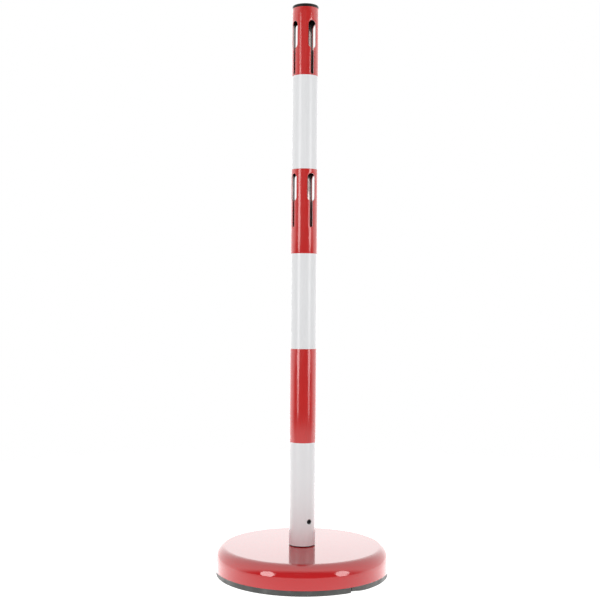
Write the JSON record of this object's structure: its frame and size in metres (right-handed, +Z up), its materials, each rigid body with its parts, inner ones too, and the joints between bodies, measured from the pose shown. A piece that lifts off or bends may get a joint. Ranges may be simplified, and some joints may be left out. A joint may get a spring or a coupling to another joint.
{
  "type": "chain stanchion",
  "caption": "Round red and white post with keyhole slots for plastic chain, standing on a spigot in a rubber-edged weighted disc base.",
  "frame": {"origin": "on the floor under the centre of the base (bottom centre of the bounding box)", "axes": "+Z up along the post; the keyhole slots face +X, -X, +Y and -Y; the clamping screw and the rubber ring's joint face -Y"},
  "size_m": [0.299, 0.299, 0.98],
  "materials": {
    "white_paint": "glossy white powder coat",
    "red_film": "glossy red adhesive film",
    "red_paint": "glossy red enamel",
    "black_plastic": "black moulded polyethylene, satin",
    "black_steel": "black-oxide steel",
    "rubber": "dark grey-black moulded rubber",
    "zinc_steel": "zinc-plated steel",
    "concrete": "cast concrete"
  },
  "bodies": {
    "base": {"base_cover": "red_paint", "ballast": "concrete", "rubber_ring": "rubber", "spigot": "zinc_steel", "centre_bolt": "zinc_steel", "centre_washer": "zinc_steel", "lock_washer": "zinc_steel"},
    "post": {"post_tube": "white_paint", "red_band_top": "red_film", "red_band_middle": "red_film", "red_band_lower": "red_film", "foot_bush": "zinc_steel"},
    "cap": {"top_cap": "black_plastic"},
    "screw": {"foot_screw": "black_steel"}
  },
  "joints": [
    {"name": "post_lift", "type": "slide", "parent": "base", "child": "post", "axis": [0, 0, 1], "range_m": [0, 0.085]},
    {"name": "cap_pull", "type": "slide", "parent": "post", "child": "cap", "axis": [0, 0, 1], "range_m": [0, 0.02]},
    {"name": "foot_screw_out", "type": "slide", "parent": "post", "child": "screw", "axis": [0, -1, 0], "range_m": [0, 0.006]}
  ]
}
